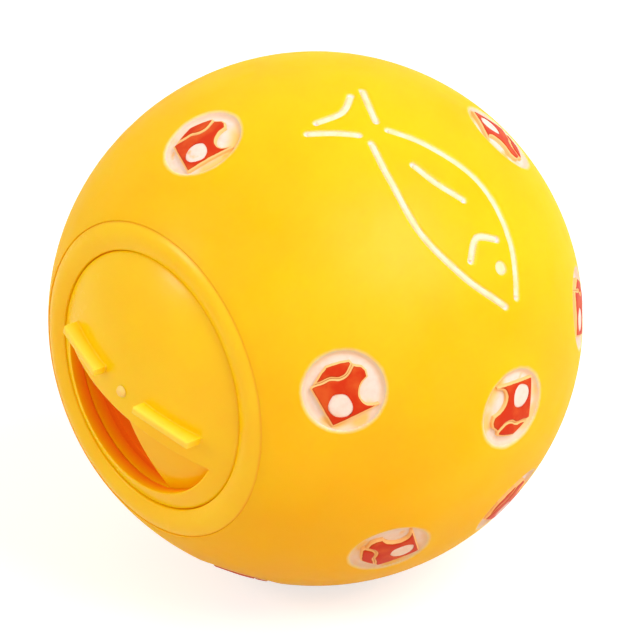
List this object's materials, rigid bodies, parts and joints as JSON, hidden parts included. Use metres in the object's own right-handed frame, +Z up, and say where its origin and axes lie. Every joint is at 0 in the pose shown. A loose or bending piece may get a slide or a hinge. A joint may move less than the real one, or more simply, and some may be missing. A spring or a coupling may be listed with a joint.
{
  "type": "cat activity ball",
  "caption": "Hollow treat ball for cats with a domed dial in its mouth; turning the dial moves a half-moon window over a fixed gate plate to open or close the treat outlet.",
  "frame": {"origin": "the point of the ball that touches the floor, straight below the ball's centre", "axes": "+Z up, the dial axis is level and the dial faces -Y, +X to the right of someone who faces the dial"},
  "size_m": [0.0698, 0.0698, 0.07],
  "materials": {
    "shell_plastic": "satin",
    "dispenser_plastic": "satin",
    "white_paint": "matte",
    "red_paint": "satin"
  },
  "bodies": {
    "ball": {"ball_shell": "shell_plastic", "collar": "dispenser_plastic", "gate_plate": "dispenser_plastic", "spot_01_disc": "white_paint", "spot_02_disc": "white_paint", "spot_03_disc": "white_paint", "spot_04_disc": "white_paint", "spot_05_disc": "white_paint", "spot_06_disc": "white_paint", "spot_07_disc": "white_paint", "spot_08_disc": "white_paint", "spot_09_disc": "white_paint", "spot_10_disc": "white_paint", "spot_11_disc": "white_paint", "spot_12_disc": "white_paint", "spot_13_disc": "white_paint", "spot_14_disc": "white_paint", "spot_01_wedge": "red_paint", "spot_02_wedge": "red_paint", "spot_03_wedge": "red_paint", "spot_04_wedge": "red_paint", "spot_05_wedge": "red_paint", "spot_06_wedge": "red_paint", "spot_07_wedge": "red_paint", "spot_08_wedge": "red_paint", "spot_09_wedge": "red_paint", "spot_10_wedge": "red_paint", "spot_11_wedge": "red_paint", "spot_12_wedge": "red_paint", "spot_13_wedge": "red_paint", "spot_14_wedge": "red_paint", "fish_1_back": "white_paint", "fish_1_belly": "white_paint", "fish_1_tail_top": "white_paint", "fish_1_tail_low": "white_paint", "fish_1_tail_end": "white_paint", "fish_1_gill": "white_paint", "fish_1_fin": "white_paint", "fish_1_eye": "white_paint", "fish_2_back": "white_paint", "fish_2_belly": "white_paint", "fish_2_tail_top": "white_paint", "fish_2_tail_low": "white_paint", "fish_2_tail_end": "white_paint", "fish_2_gill": "white_paint", "fish_2_fin": "white_paint", "fish_2_eye": "white_paint"},
    "dial": {"dial": "dispenser_plastic", "pivot_pin": "dispenser_plastic", "pivot_cap": "dispenser_plastic"}
  },
  "joints": [
    {"name": "dial_turn", "type": "hinge", "parent": "ball", "child": "dial", "pos_m": [0, -0.0314, 0.035], "axis": [0, -1, 0], "continuous": true}
  ]
}
